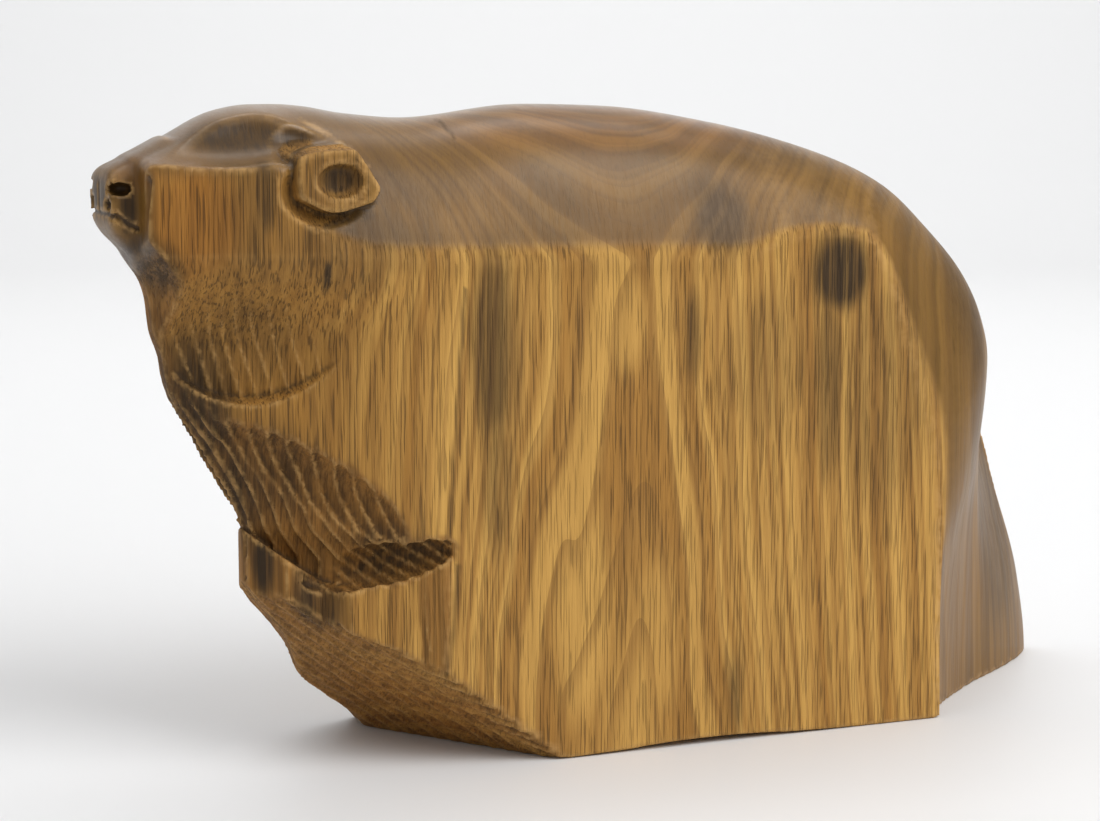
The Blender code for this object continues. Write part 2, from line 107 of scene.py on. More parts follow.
# The front, from the chin to the feet. Each row has the keel's along and up, and the along of the same row
# where its sweep meets the wall plane
FRONT = (
    (0.7, 81.5, 3.4),
    (2.4, 77.4, 5.4),
    (3.7, 73.8, 7.1),
    (4.1, 71.3, 7.8),
    (4.4, 66.8, 9.1),
    (5.2, 62.4, 11.1),
    (5.4, 60.0, 13.1),
    (5.8, 56.9, 14.7),
    (7.5, 51.2, 16.1),
    (7.8, 50.5, 18.1),
    (8.0, 49.8, 19.7),
    (9.0, 46.5, 21.5),
    (10.0, 43.6, 22.3),
    (10.8, 41.1, 22.7),
    (11.7, 38.0, 23.2),
    (11.9, 36.7, 23.7),
    (12.6, 34.4, 25.1),
    (13.4, 30.9, 26.9),
    (13.4, -4.6, 26.9),
)
KEEL_OUT = 9.0

# The taper of the cheeks and chest towards the keel: the along where it starts, and the depth cut for each
# unit ahead of that
CHEEK_TAPER = (17.1, 0.26)
CHEST_TAPER = (23.6, 0.51)
TAPER_ROUND = 5.0
CHEEK_UP = 79.0
CHEST_UP = 64.0

# The throat, hollowed down to a stop cut along the jaw
THROAT_MIDDLE = 11.4
THROAT_SPAN = 7.2
THROAT_TOP = 75.0
THROAT_JAW = 56.6
THROAT_JAW_RISE = 0.12
THROAT_DEPTH = 13.0

# The legs under the chest, as a plan of along, out and the height of their tops on the left and right
LEGS_LEFT = (
    (11.8, 0.0, 36.4),
    (12.0, 17.6, 35.8),
    (14.4, 50.0, 32.6),
    (17.7, 52.9, 28.6),
    (19.2, 79.4, 27.8),
    (26.9, 94.1, 32.6),
    (39.0, 94.1, 32.6),
)
LEGS_RIGHT = (
    (11.8, 0.0, 36.4),
    (12.4, 23.5, 34.9),
    (14.4, 41.2, 32.6),
    (17.7, 58.8, 28.6),
    (21.4, 79.4, 28.1),
    (26.9, 93.2, 32.1),
    (39.0, 93.2, 32.1),
)

# The scoop across each side of the chest, and the hollow below it, each between two places, with its radius
SCOOP = ((4.8, 32.4, 52.7), (24.1, 120.6, 34.4), 11.3)
HOLLOW = ((27.7, 100.0, 34.4), (16.1, 47.1, 28.9), 5.2)

# The underside of the feet, each as three points of one sloping face: along, out and up
SOLE_FRONT = ((11.9, 0.0, 27.5), (25.4, 0.0, 0.0), (21.1, 100.0, 8.6))
SOLE_LEFT = ((38.0, -100.0, 0.0), (29.8, 0.3, 0.0), (26.7, -94.1, 14.8))

# The eye sockets, the temples behind them, and the ears in their hollows: centre and half widths
EYE = ((8.1, 80.0, 100.6), (11.0, 47.1, 9.2))
TEMPLE = ((15.4, 97.1, 96.2), (5.3, 50.0, 4.9))
EAR_HOLLOW = ((17.2, 110.0, 87.9), (5.0, 35.3, 6.0))
EAR_CUP = ((18.1, 101.2, 89.3), (2.14, 13.5, 2.7))
EAR_FACE_OUT = 98.2
EAR_ROOT_OUT = 35.3
EAR_FLARE = 1.7
EAR_RIM = (
    (-106.4, 161.9),
    (-102.5, 163.3),
    (-91.7, 163.7),
    (-88.6, 159.6),
    (-85.2, 153.7),
    (-87.1, 150.5),
    (-96.1, 147.9),
    (-99.8, 148.3),
    (-106.5, 151.7),
    (-107.2, 157.4),
)

# The muzzle, as rings of along, half width as out, lowest and highest point
MUZZLE = (
    (0.0, 31.2, 84.2, 88.8),
    (0.1, 35.3, 82.8, 90.2),
    (0.5, 37.1, 81.3, 91.1),
    (1.4, 37.4, 79.6, 91.9),
    (2.8, 37.9, 77.0, 93.0),
    (5.4, 38.8, 73.9, 95.3),
)
MUZZLE_SQUARENESS = 3.2
MOUTH = ((2.3, 38.2, 82.4), (1.5, 37.9, 83.0), (0.6, 36.5, 84.2), (0.1, 27.9, 84.5), (-0.1, 0.0, 84.3))
MOUTH_RADIUS = 0.8
NOSTRIL = ((1.0, 30.9, 88.1), (1.0, 9.4, 1.1))
LIP_PIT = ((0.2, 25.9, 85.9), (0.5, 7.6, 0.9))
PHILTRUM = ((-0.0, 0.0, 88.7), (-0.0, 0.0, 84.4))
PHILTRUM_RADIUS = 0.6

# The valley between paw and leg and the slot behind the muzzle: two ends and a radius, in millimetres
VALLEY = ((-97.5, -25.0, 30.0), (-102.5, -21.5, 56.0), 4.8)
CHEEK_SLOT = ((-145.5, -20.5, 142.0), (-143.8, -21.5, 156.0), 2.4)
# The underside above the near toes: where it meets the wall as X and Z, how it falls back and rises inwards
SOLE_TOE = (-70.6, 27.3, 0.332, 0.375)
UNDER_LIFT = 1.7  # how far the near edge of the underside stands off the table
TOE_BULGE = (17, 9, 3.2)  # a swelling of the front underside: its height, its half width and its depth

# The camera's place, tilt and turn, and the lamps: a name, where each stands and what it faces in metres,
# its size and its power
CAMERA_PLACE = (-0.2941, -0.6594, 0.1897)
CAMERA_TILT = math.radians(82)
CAMERA_YAW = math.radians(22.15)
LAMPS = (
    ("window", (0.75, -1.1, 1.25), (0, 0, 0.05), 1.3, 26),
    ("ceiling", (-0.8, 0.1, 2.0), (-0.2, 0, 0), 2.4, 15),
    ("backdrop", (0.3, 0.7, 1.9), (0.9, 2.3, 0.7), 1.5, 23),
)

# Patches, as a name, the centre and half widths in millimetres and the strength: dark patches, which are the
# wood's own marks except where painted shade is noted, then pale wood and a warm tint
STAINS_AND_SHADE = (
    ("shoulder band", (-55, -34, 112), (6.8, 14, 27), 0.70),
    ("shoulder band foot", (-54, -34, 78), (4.5, 10, 22), 0.45),
    ("flank line", (1.4, -34, 113), (2.6, 9, 14), 0.60),
    ("flank shade", (24, -34, 104), (12, 12, 22), 0.28),
    ("thigh patch", (46.5, -34, 128.5), (9.5, 15, 11.5), 1.0),
    ("thigh streak", (43, -34, 98), (4.0, 12, 28), 0.62),
    ("thigh shade", (60, -34, 95), (14, 14, 34), 0.38),
    ("foot streak", (15.3, -34, 14), (1.9, 10, 15), 0.75),
    ("neck knot", (-99.3, -33, 131.5), (1.5, 6, 5.0), 0.95),
    ("cheek streak", (-114.5, -30, 153), (2.8, 8, 11), 0.75),
    ("cheek shade", (-119, -29, 146), (5, 8, 15), 0.45),
    # Painted shade in the eye socket, darkest in its corner behind the eye
    ("shade behind eye", (-103.5, -20, 166.5), (5.0, 9, 2.6), 0.85),
    ("eye bowl shade", (-118, -20, 167), (15, 14, 5), 0.86),
    ("temple", (-106, -26, 163), (4, 9, 6), 0.5),
    # Painted shadow on the step in the slot behind the muzzle
    ("cheek slot shadow", (-145.8, -15, 149.0), (2.2, 7.0, 8.0), 1.0),
    ("jaw", (-142, -14, 134), (9, 20, 9), 0.85),
    ("nose", (-151, 0, 151), (3.4, 14, 6), 0.92),
    # Painted shade in the nostril pits
    ("nostril", (-146.9, -10.5, 153.8), (2.2, 3.2, 1.9), 0.95),
    ("nostril, far", (-146.9, 10.5, 153.8), (2.2, 3.2, 1.9), 0.95),
    # Painted shade in the hollow of the ear's cup
    ("ear cup shade", (-96, -30, 156), (5.2, 4, 3.8), 0.9),
    ("ear", (-96, -34, 156), (13, 6, 10), 0.42),
    # Painted shadow under the ear
    ("shadow under ear", (-92, -31, 147), (7, 5, 2.2), 0.62),
    # Painted shade in the throat's hollow, darkest at its floor, where it faces down
    ("throat", (-121, -26, 112), (16, 14, 15), 0.60),
    ("throat floor shade", (-122, -24, 104), (11, 12, 4.5), 0.55),
    # Dark patches on the front facets: partly the wood's own colour, partly painted shade where they face
    # down and away from the light
    ("keel", (-129, -10, 92), (11, 20, 26), 0.88),
    ("keel foot", (-119, -13, 70), (9, 18, 18), 0.90),
    ("chest", (-112, -20, 78), (13, 12, 16), 0.50),
    # Painted shade in the hollow under the chest and in the valley between paw and leg
    ("hollow", (-82, -28, 60), (12, 9, 6.5), 0.60),
    ("valley", (-100, -22, 45), (6.5, 12, 14), 0.86),
    ("paw", (-111.8, -12, 56), (3.0, 6, 11), 0.97),
    ("back patch", (12, -28, 143), (8, 12, 11), 0.60),
    ("back shade", (32, -14, 160), (15, 14, 8), 0.35),
    ("neck shade", (-94, -33, 139), (18, 9, 12), 0.38),
    # Painted shade where the cheek turns down and away from the light
    ("face shade", (-122, -30, 140), (20, 10, 18), 0.25),
    ("rump shade", (92, -8, 108), (12, 20, 26), 0.55),
    # Painted shade on the far hind leg at the rear
    ("heel", (128, 10, 45), (14, 30, 30), 0.50),
    ("nape", (-72, -20, 158), (18, 16, 12), 0.30),
)
PALE = (
    ("flank, high", (-18, -34, 118), (7, 10, 16), 0.8),
    ("flank, low", (-30, -34, 40), (9, 10, 34), 0.9),
    ("belly", (-8, -34, 30), (7, 10, 26), 0.7),
    ("thigh", (26, -34, 40), (6, 10, 30), 0.6),
    ("leg", (-72, -34, 28), (9, 10, 22), 0.8),
)
WARM = (
    ("back glow", (-10, -12, 168), (52, 16, 9), 0.7),
    ("cheek glow", (-132, -26, 146), (12, 12, 14), 0.8),
    ("muzzle glow", (-143, -12, 158), (7, 14, 5), 0.6),
    ("foot glow", (-60, 0, 12), (40, 30, 22), 0.6),
)

# In metres: where the rings fade out towards the head, and where the back's polish grows towards its top
NECK = (-0.105, -0.07)
BACK_TOP = (0.148, 0.173)

# Fine lines on the left side, as a name, places as X and Z in millimetres, the half width and the strength
DARK_LINES = (
    ("long crack", ((-63.1, 127.4), (-64.5, 108.0), (-66.5, 80.0), (-68.5, 57.0)), 0.45, 0.70),
    ("back crack", ((-62.1, 173.9), (-60.5, 169.5), (-59.4, 165.8)), 0.50, 0.60),
    # Painted shadow: a dark crescent under the ear
    ("shadow under ear", ((-99.7, 144.0), (-96.0, 145.6), (-91.0, 146.3), (-86.4, 150.0)), 0.90, 0.80),
    # Painted shade on the face of the leg's step
    ("leg step", ((-65.3, 55.3), (-66.5, 40.0), (-68.3, 26.1)), 0.60, 0.60),
    ("hollow lines", ((-88.0, 52.0), (-80.0, 60.0)), 0.60, 0.80),
    ("hollow lines", ((-83.0, 52.5), (-75.0, 61.0)), 0.60, 0.80),
    ("hollow lines", ((-78.0, 54.0), (-71.0, 61.0)), 0.50, 0.80),
)
# Painted highlights along the brow ridge and the edge of the leg's step, as pale lines
PAINTED_HIGHLIGHT_LINES = (
    ("brow ridge highlight", ((-100.0, 170.8), (-95.0, 167.7), (-89.7, 163.6), (-85.8, 159.2)), 0.60, 0.80),
    ("leg step", ((-66.6, 55.3), (-67.8, 40.0), (-69.6, 26.1)), 0.50, 0.50),
)


def to_x(along):
    """Along as millimetres from the middle of the block."""
    return (np.asarray(along, float) / 100 - 0.5) * LENGTH


def to_z(up):
    """Up as millimetres from the ground."""
    return np.asarray(up, float) / 100 * HEIGHT


def place(along, out, up):
    """A place of the drawing in millimetres, with out counted towards +Y."""
    return np.array((to_x(along), out / 100 * HALF, to_z(up)))


def widths(along, out, up):
    """Three half widths of the drawing in millimetres."""
    return np.array((along / 100 * LENGTH, out / 100 * HALF, up / 100 * HEIGHT))


def smooth_step(value, low, high):
    """0 below low, 1 above high, and an even S between them."""
    t = np.clip((value - low) / (high - low), 0, 1)
    return t * t * (3 - 2 * t)


def even_curve(rows, count):
    """About count rows along a smooth curve, which passes every given row and never swings past them."""
    rows = np.array(rows, float)
    gaps = np.linalg.norm(np.diff(rows[:, :2], axis=0), axis=1)
    slopes = np.diff(rows, axis=0) / gaps[:, None]
    before, after = slopes[:-1], slopes[1:]
    same_way = before * after > 0
    inner = np.where(same_way, 2 * before * after / np.where(same_way, before + after, 1), 0)
    tangents = np.vstack((slopes[:1], inner, slopes[-1:]))
    parts = np.maximum(np.rint(gaps / gaps.sum() * count).astype(int), 1)
    left = np.repeat(np.arange(len(gaps)), parts)
    t = np.concatenate([np.arange(part) / part for part in parts])[:, None]
    span = gaps[left][:, None]
    curve = (
        (2 * t**3 - 3 * t**2 + 1) * rows[left]
        + (t**3 - 2 * t**2 + t) * span * tangents[left]
        + (3 * t**2 - 2 * t**3) * rows[left + 1]
        + (t**3 - t**2) * span * tangents[left + 1]
    )
    return np.vstack((curve, rows[-1:]))


def blurred(values, reach):
    """A row of numbers, each taken as the mean of those within reach of it, with the ends held."""
    kernel = np.hanning(2 * reach + 3)[1:-1]
    padded = np.pad(values, reach, mode="edge")
    return np.convolve(padded, kernel / kernel.sum(), mode="valid")


def drift(u, v, step_u, step_v, seed):
    """Soft noise between -1 and 1: random numbers at the corners of a lattice, eased between them."""
    table = np.random.default_rng(seed).uniform(-1, 1, (64, 64))
    a, b = u / step_u, v / step_v
    i, j = np.floor(a).astype(int), np.floor(b).astype(int)
    s, t = a - i, b - j
    s, t = s * s * (3 - 2 * s), t * t * (3 - 2 * t)
    i, j = i % 64, j % 64
    i2, j2 = (i + 1) % 64, (j + 1) % 64
    low = table[i, j] * (1 - s) + table[i2, j] * s
    high = table[i, j2] * (1 - s) + table[i2, j2] * s
    return low * (1 - t) + high * t


def greater(a, b, ease):
    """The greater of two fields, with the edge where they meet rounded over the given width."""
    return np.maximum(a, b) + np.maximum(ease - np.abs(a - b), 0) ** 2 / (4 * ease)


def lesser(a, b, ease):
    """The lesser of two fields, with the corner where they meet filled over the given width."""
    return np.minimum(a, b) - np.maximum(ease - np.abs(a - b), 0) ** 2 / (4 * ease)


def ball(x, y, z, centre, radii):
    """The field of a ball with three half widths: its share of the radius, scaled back to a length."""
    a, b, c = (x - centre[0]), (y - centre[1]), (z - centre[2])
    share = np.sqrt((a / radii[0]) ** 2 + (b / radii[1]) ** 2 + (c / radii[2]) ** 2)
    steep = np.sqrt((a / radii[0] ** 2) ** 2 + (b / radii[1] ** 2) ** 2 + (c / radii[2] ** 2) ** 2)
    return share * (share - 1) / np.maximum(steep, 1e-6)


def spindle(x, y, z, first, last, radius):
    """The field of a ball stretched between two places."""
    middle, reach = (first + last) / 2, np.linalg.norm(last - first) / 2
    axis = (last - first) / (2 * reach)
    a, b, c = x - middle[0], y - middle[1], z - middle[2]
    lengthwise = a * axis[0] + b * axis[1] + c * axis[2]
    across = np.sqrt(np.maximum(a * a + b * b + c * c - lengthwise**2, 0))
    share = np.sqrt((lengthwise / reach) ** 2 + (across / radius) ** 2)
    steep = np.sqrt((lengthwise / reach**2) ** 2 + (across / radius**2) ** 2)
    return share * (share - 1) / np.maximum(steep, 1e-6)


def rod(x, y, z, first, last, radius):
    """The field of a straight round rod with round ends: the distance to its line, less the radius."""
    span = last - first
    a, b, c = x - first[0], y - first[1], z - first[2]
    t = np.clip((a * span[0] + b * span[1] + c * span[2]) / (span @ span), 0, 1)
    a, b, c = a - span[0] * t, b - span[1] * t, c - span[2] * t
    return np.sqrt(a * a + b * b + c * c) - radius


def rods(x, y, z, places, radius):
    """The field of a bent rod through several places."""
    made = rod(x, y, z, places[0], places[1], radius)
    for first, last in zip(places[1:-1], places[2:]):
        made = np.minimum(made, rod(x, y, z, first, last, radius))
    return made


def slope_field(x, y, z, corners):
    """The field of the wood above a sloping face through three places: the height below the face."""
    first, second, third = (place(*corner) for corner in corners)
    down = np.cross(second - first, third - first)
    down = down / np.linalg.norm(down) * (-1 if down[2] > 0 else 1)
    return (x - first[0]) * down[0] + (y - first[1]) * down[1] + (z - first[2]) * down[2]


def gouged(t):
    """Gouge cuts side by side: 1 along the middle of each cut, 0 on the sharp ridges between them."""
    return 1 - 4 * (t - np.rint(t)) ** 2


class Rays:
    """The back as heights along rays: straight up over the body, and fanned about a pivot over the rump."""

    def __init__(self):
        rows = even_curve(BACK, 500)
        self.x, self.z = to_x(PIVOT[0]), to_z(PIVOT[1])
        self.lines = []
        for column in (0, 2, 4):
            ray, height = self.of(to_x(rows[:, column]), to_z(rows[:, column + 1]))
            ray = np.maximum.accumulate(ray + np.arange(len(ray)) * 1e-6)
            even = np.arange(ray[0], ray[-1], 0.5)
            self.lines.append((even, blurred(np.interp(even, ray, height), 5)))
            if column == 0:
                self.full = [(ray, rows[:, 6]), (ray, rows[:, 7])]

    def of(self, x, z):
        """The ray of a point, in millimetres behind the pivot, and the point's height along it."""
        back, up = x - self.x, z - self.z
        fanned = back > 0
        ray = np.where(fanned, 100 * np.arctan2(back, up), back)
        return ray, np.where(fanned, np.hypot(back, up), up)

    def field(self, x, y, z):
        """How far a point stands above the back. The back rises from the edge of the wall to the middle
        outline by a share that follows part of a circle, mixed with a straight slope where less full."""
        ray, height = self.of(x, z)
        out = np.clip(np.abs(y) / HALF, 0, 1)
        angle = np.arccos(out * np.cos(EDGE_ANGLE))
        flat = 1 - np.sin(EDGE_ANGLE)
        dome = (np.sin(angle) - np.sin(EDGE_ANGLE)) / flat
        fall = -np.cos(EDGE_ANGLE) / np.tan(angle) / flat
        left = y < 0
        full = np.where(left, np.interp(ray, *self.full[0]), np.interp(ray, *self.full[1]))
        edge = np.where(left, np.interp(ray, *self.lines[1]), np.interp(ray, *self.lines[2]))
        rise = np.interp(ray, *self.lines[0]) - edge
        share = full * dome + (1 - full) * (1 - out)
        steep = rise / HALF * (full * fall - (1 - full))
        return (height - edge - rise * share) / np.sqrt(1 + steep**2)


RAYS = Rays()
FRONT_ROWS = even_curve(FRONT, 200)


def one_taper(along, start, slope):
    """The depth of one straight taper, eased in where it starts."""
    ahead = start - along
    soft = np.maximum(ahead + TAPER_ROUND, 0) ** 2 / (4 * TAPER_ROUND)
    return np.where(ahead > TAPER_ROUND, ahead, soft) * slope * LENGTH / 100


def taper_depth(along, up):
    """How far the cheek and the chest below it stand in from the wall plane."""
    share = smooth_step(up, CHEST_UP, CHEEK_UP)
    return one_taper(along, *CHEST_TAPER) * (1 - share) + one_taper(along, *CHEEK_TAPER) * share


def throat_depth(along, up):
    """The hollow of the throat: deepest at its stop cut, and fading upwards and to both ends."""
    jaw = THROAT_JAW + THROAT_JAW_RISE * (along - THROAT_MIDDLE) ** 2
    rise = (up - jaw) / (THROAT_TOP - jaw)
    across = np.maximum(1 - ((along - THROAT_MIDDLE) / THROAT_SPAN) ** 2, 0)
    fade = np.clip(1 - rise, 0, 1) * smooth_step(rise, -0.05, 0.03)
    return fade * across * THROAT_DEPTH / 100 * HALF


def leg_field(x, y, z):
    """The forelegs: inside their plan and below their sloping tops."""
    made = None
    for rows, side in ((LEGS_LEFT, -1), (LEGS_RIGHT, 1)):
        rows = np.array(rows)
        stations = to_x(rows[:, 0])
        reach = np.interp(x, stations, rows[:, 1] / 100 * HALF)
        top = np.interp(x, stations, to_z(rows[:, 2]))
        half = greater(side * y - reach, z - top, 1.0) * 0.8
        made = half if made is None else np.where(y < 0, made, half)
    made = greater(made, x - to_x(LEGS_LEFT[-1][0]), 1.0)
    return greater(made, to_x(LEGS_LEFT[0][0]) - x, 1.0)


def ear_field(x, y, z):
    """One ear: a stub whose rim is a rough polygon, wider towards its root."""
    rim = np.array(EAR_RIM)
    after = np.roll(rim, -1, axis=0)
    side = after - rim
    normal = np.stack((-side[:, 1], side[:, 0]), axis=1) / np.linalg.norm(side, axis=1)[:, None]
    middle = rim.mean(0)
    made = None
    for corner, away in zip(rim, normal):
        if (middle - corner) @ away > 0:
            away = -away
        edge = (x - corner[0]) * away[0] + (z - corner[1]) * away[1]
        made = edge if made is None else greater(made, edge, 0.8)
    root = (EAR_FACE_OUT - np.abs(y) / HALF * 100) / (EAR_FACE_OUT - EAR_ROOT_OUT)
    flare = EAR_FLARE * np.clip(root, 0, 1.5)
    return greater(made - flare, np.abs(y) - EAR_FACE_OUT / 100 * HALF, 0.6)


def muzzle_field(x, y, z):
    """The muzzle: a rounded square section that grows from the nose into the head."""
    rings = even_curve([(row[0], row[1] / 10, row[1], row[2], row[3]) for row in MUZZLE], 40)
    stations = to_x(rings[:, 0])
    wide = np.interp(x, stations, rings[:, 2] / 100 * HALF)
    low = np.interp(x, stations, to_z(rings[:, 3]))
    high = np.interp(x, stations, to_z(rings[:, 4]))
    half = (high - low) / 2
    power = MUZZLE_SQUARENESS
    share = (np.abs(y / wide) ** power + np.abs((z - (low + high) / 2) / half) ** power) ** (1 / power)
    made = (share - 1) * half * 0.9
    made = greater(made, stations[0] - x, 0.8)
    return greater(made, x - stations[-1], 0.8)


def bear_field(x, y, z, made, faces=None):
    """The whole bear as one field, carved step by step. made holds the sizes of the tool marks. Where faces
    is a dictionary, it is given the field of each face of the carving."""
    faces = {} if faces is None else faces
    along, up = (x / LENGTH + 0.5) * 100, z / HEIGHT * 100
    deep, pitch = made.gouge_depth * MM, made.gouge_pitch * MM
    soft = made.edge_round * MM
    out = np.abs(y)
    ripple = made.wall_ripple * MM * (1 + drift(x, z, 2.2, 60, 1) * 0.6 + drift(x, z, 7, 90, 2) * 0.4) / 2
    faces["back"] = RAYS.field(x, y, z)
    body = greater(faces["back"], out - HALF + ripple, soft * 0.4)
    body = greater(body, to_x(BACK[0][0]) - x, 2.0)

    keel = np.interp(-z, -to_z(FRONT_ROWS[:, 1]), to_x(FRONT_ROWS[:, 0]))
    wall = np.interp(-z, -to_z(FRONT_ROWS[:, 1]), to_x(FRONT_ROWS[:, 2]))
    sweep = (wall - keel) / (HALF * (1 - KEEL_OUT / 100))
    ahead = keel + sweep * np.maximum(out - HALF * KEEL_OUT / 100, 0) - x
    marks = gouged(out / pitch + 0.25 * drift(x, z, 15, 15, 3)) * smooth_step(-up, -60, -52)
    faces["front"] = ahead / np.sqrt(1.25 + sweep**2) + deep * marks - deep * 0.5
    body = greater(body, faces["front"], soft)

    shallow = taper_depth(along, up) + throat_depth(along, up)
    fan = gouged((x + 0.25 * z) / pitch * 0.8 + 0.4 * drift(x, z, 9, 20, 4))
    shallow = shallow + deep * 0.7 * fan * np.clip(throat_depth(along, up) / 2, 0, 1)
    faces["side"] = (out - HALF + shallow) / 1.12
    body = greater(body, faces["side"], soft)
    legs = leg_field(x, y, z)
    body = lesser(body, legs, 0.8)
    faces["scoops"] = np.full(np.shape(x), -99.0)

    for side in (-1, 1):
        first, last, radius = SCOOP
        first, last = (place(*spot) * (1, side, 1) for spot in (first, last))
        marks = gouged((0.92 * x + 0.4 * z) / (pitch * 1.2) + 0.3 * drift(x, z, 12, 12, 5))
        tool = spindle(x, y, z, first, last, radius) - deep * marks
        body = greater(body, -tool, soft)
        faces["scoops"] = np.maximum(faces["scoops"], -tool)
        first, last, radius = HOLLOW
        first, last = (place(*spot) * (1, side, 1) for spot in (first, last))
        marks = gouged((0.55 * x + 0.83 * z) / pitch + 0.3 * drift(x, z, 8, 8, 6))
        tool = spindle(x, y, z, first, last, radius) - deep * 0.7 * marks
        body = greater(body, -tool, soft)
        faces["scoops"] = np.maximum(faces["scoops"], -tool)
        low, high = (np.array(spot) * (1, side, 1) for spot in VALLEY[:2])
        body = greater(body, -rod(x, y, z, low, high, VALLEY[2]), soft)

    teeth = gouged((0.75 * y + 0.38 * x - 0.2 * z) / (pitch * 0.9) + 0.5 * drift(x, y, 11, 9, 7))
    faces["soles"] = np.full(np.shape(x), -99.0)
    toe_x, toe_z, fall, climb = SOLE_TOE
    toe = (toe_z - fall * (x - toe_x) + climb * (y + HALF) - z) / 1.12
    middle, reach, swell = TOE_BULGE
    steps = 1.6 * drift(x + z, y, 9, 12, 8) - 0.6 - swell * np.exp(-(((z - middle) / reach) ** 2))
    rim = smooth_step(out, HALF - 7, HALF - 1)
    long = gouged(y / (pitch * 1.5) + 0.35 * drift(x, y, 18, 9, 9))
    near_sole = np.minimum(slope_field(x, y, z, SOLE_LEFT), toe)
    for sole in (slope_field(x, y, z, SOLE_FRONT) + steps, near_sole):
        sole = sole + deep * ((0.15 + 1.05 * rim) * teeth + 0.45 * long * (1 - rim) - 0.3)
        body = greater(body, sole, soft)
        faces["soles"] = np.maximum(faces["soles"], sole)

    for side in (-1, 1):
        turn = np.array((1, side, 1))
        for (centre, size), ease in ((EYE, soft * 2), (TEMPLE, soft), (EAR_HOLLOW, soft)):
            body = greater(body, -ball(x, y, z, place(*centre) * turn, widths(*size)), ease)
        low, high = (np.array(spot) * (1, side, 1) for spot in CHEEK_SLOT[:2])
        body = greater(body, -rod(x, y, z, low, high, CHEEK_SLOT[2]), 0.5)
    ears = ear_field(x, y, z)
    faces["ears"] = ears
    body = lesser(body, ears, 1.5)
    for side in (-1, 1):
        turn = np.array((1, side, 1))
        body = greater(body, -ball(x, y, z, place(*EAR_CUP[0]) * turn, widths(*EAR_CUP[1])), soft)
    body = lesser(body, muzzle_field(x, y, z), 2.5)
    turns = [place(*spot) for spot in MOUTH]
    turns += [place(*spot) * (1, -1, 1) for spot in reversed(MOUTH[:-1])]
    body = greater(body, -rods(x, y, z, turns, MOUTH_RADIUS), 0.3)
    body = greater(body, -rod(x, y, z, place(*PHILTRUM[0]), place(*PHILTRUM[1]), PHILTRUM_RADIUS), 0.3)
    for side in (-1, 1):
        turn = np.array((1, side, 1))
        for centre, size in (NOSTRIL, LIP_PIT):
            body = greater(body, -ball(x, y, z, place(*centre) * turn, widths(*size)), 0.3)
    lift = UNDER_LIFT * np.exp(-(((x - 8) / 28) ** 2)) * smooth_step(-y, 14, 34)
    return greater(body, lift - z, 0.5)


def graded(stops):
    """Grid lines whose spacing changes along the way. Each stop is where a stretch starts and its step."""
    lines = [np.array([stops[0][0]])]
    for (start, step), (end, _) in zip(stops[:-1], stops[1:]):
        count = max(int(round((end - start) / step)), 1)
        lines.append(np.linspace(start, end, count + 1)[1:])
    return np.concatenate(lines)


EDGES = np.array(
    [
        ((0, 0, 0), (1, 0, 0)), ((0, 1, 0), (1, 1, 0)), ((0, 0, 1), (1, 0, 1)), ((0, 1, 1), (1, 1, 1)),
        ((0, 0, 0), (0, 1, 0)), ((1, 0, 0), (1, 1, 0)), ((0, 0, 1), (0, 1, 1)), ((1, 0, 1), (1, 1, 1)),
        ((0, 0, 0), (0, 0, 1)), ((1, 0, 0), (1, 0, 1)), ((0, 1, 0), (0, 1, 1)), ((1, 1, 0), (1, 1, 1)),
    ]
)


def netted(field, lines):
    """A closed mesh where the field crosses 0 on a grid. Each cell that the surface passes has one vertex,
    at the mean of the places where the cell's edges cross it, and each crossed grid edge has one face
    between the four cells around it."""
    xs, ys, zs = lines
    values = np.empty((len(xs), len(ys), len(zs)), np.float32)
    for i in range(0, len(xs), 12):
        grid = np.meshgrid(xs[i : i + 12], ys, zs, indexing="ij")
        values[i : i + 12] = field(*grid)
    inside = values < 0
    corners = [
        inside[a : a - 1 or None, b : b - 1 or None, c : c - 1 or None] for a, b, c in np.ndindex(2, 2, 2)
    ]
    count = sum(corner.astype(np.int8) for corner in corners)
    mixed = (count > 0) & (count < 8)
    cells = np.argwhere(mixed)
    number = np.full(mixed.shape, -1, np.int64)
    number[mixed] = np.arange(len(cells))
    total = np.zeros((len(cells), 3))
    hits = np.zeros(len(cells))
    for start, end in EDGES:
        a, b = cells + start, cells + end
        va, vb = values[tuple(a.T)].astype(float), values[tuple(b.T)].astype(float)
        crossed = (va < 0) != (vb < 0)
        t = np.where(crossed, va / np.where(crossed, va - vb, 1), 0)[:, None]
        pa = np.stack((xs[a[:, 0]], ys[a[:, 1]], zs[a[:, 2]]), axis=1)
        pb = np.stack((xs[b[:, 0]], ys[b[:, 1]], zs[b[:, 2]]), axis=1)
        total += np.where(crossed[:, None], pa + (pb - pa) * t, 0)
        hits += crossed
    points = total / hits[:, None]
    faces = []
    for axis in range(3):
        u, v = (axis + 1) % 3, (axis + 2) % 3
        first = [slice(None)] * 3
        second = [slice(None)] * 3
        first[axis], second[axis] = slice(0, -1), slice(1, None)
        low, high = inside[tuple(first)], inside[tuple(second)]
        spots = np.argwhere(low != high)
        leaving = low[tuple(spots.T)]
        quad = []
        for du, dv in ((-1, -1), (0, -1), (0, 0), (-1, 0)):
            cell = spots.copy()
            cell[:, u] += du
            cell[:, v] += dv
            quad.append(number[tuple(cell.T)])
        quad = np.stack(quad, axis=1)
        faces.append(np.where(leaving[:, None], quad, quad[:, ::-1]))
    return points, np.vstack(faces)


